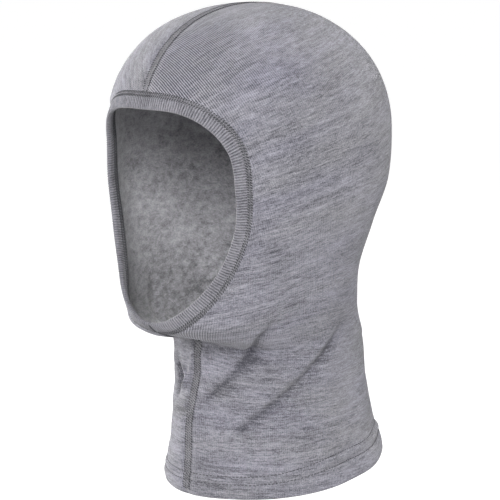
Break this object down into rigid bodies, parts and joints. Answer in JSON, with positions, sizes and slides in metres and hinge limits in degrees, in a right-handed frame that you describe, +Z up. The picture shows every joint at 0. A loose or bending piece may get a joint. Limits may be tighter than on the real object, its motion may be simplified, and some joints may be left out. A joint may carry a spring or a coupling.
{
  "type": "balaclava",
  "caption": "Close-fitting knit hood for head and neck, with an egg-shaped face opening bound in rib, flat seams over crown and throat, and a double-stitched hem.",
  "frame": {"origin": "middle of the head that the hood holds, about level with the tops of the ears", "axes": "+Z up to the crown, -Y out through the face opening, +X the wearer's left"},
  "size_m": [0.16, 0.2031, 0.3141],
  "materials": {
    "knit": "heather grey jersey, smooth outside, brushed inside",
    "rib": "heather grey rib, folded double",
    "thread": "dark grey textured sewing thread, satin",
    "label": "pale grey woven satin, blank"
  },
  "bodies": {
    "root": {"left_panel": "knit", "right_panel": "knit", "face_band": "rib", "care_label": "label", "face_band_join_stitch": "thread", "face_seam_cover_thread": "thread", "face_seam_needle_threads": "thread", "face_seam_looper_thread": "thread", "crown_seam_cover_thread": "thread", "crown_seam_needle_threads": "thread", "crown_seam_looper_thread": "thread", "throat_seam_cover_thread": "thread", "throat_seam_needle_threads": "thread", "throat_seam_looper_thread": "thread", "hem_needle_threads": "thread", "hem_looper_thread": "thread", "care_label_stitch": "thread"}
  },
  "joints": []
}
